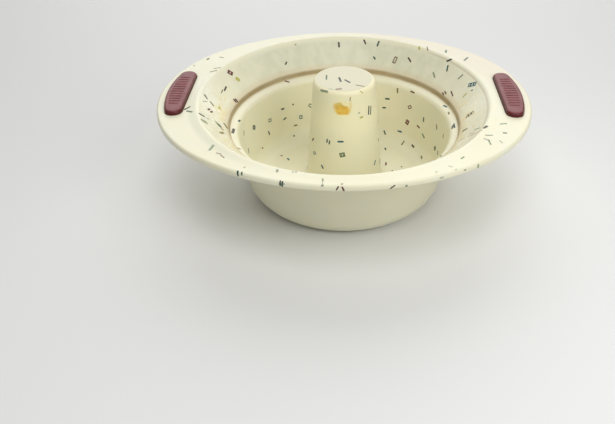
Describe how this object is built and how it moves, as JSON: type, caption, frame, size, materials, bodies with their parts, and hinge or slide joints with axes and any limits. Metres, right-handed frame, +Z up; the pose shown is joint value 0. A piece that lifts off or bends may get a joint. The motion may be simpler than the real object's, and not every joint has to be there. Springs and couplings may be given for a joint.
{
  "type": "silicone ring cake mould",
  "caption": "Flexible ring cake mould: round cavity with a stepped collar, hollow chimney, oval rim with a rounded lip, and seated grip pads.",
  "frame": {"origin": "on the chimney's axis, at the surface that the mould stands on", "axes": "+X across the two grip pads, +Y towards the back of the rim, +Z up out of the mouth"},
  "size_m": [0.283, 0.245, 0.0926],
  "materials": {
    "cream_silicone": "satin",
    "maroon_silicone": "satin"
  },
  "bodies": {
    "root": {"mould_body": "cream_silicone", "left_grip_pad": "maroon_silicone", "right_grip_pad": "maroon_silicone"}
  },
  "joints": []
}
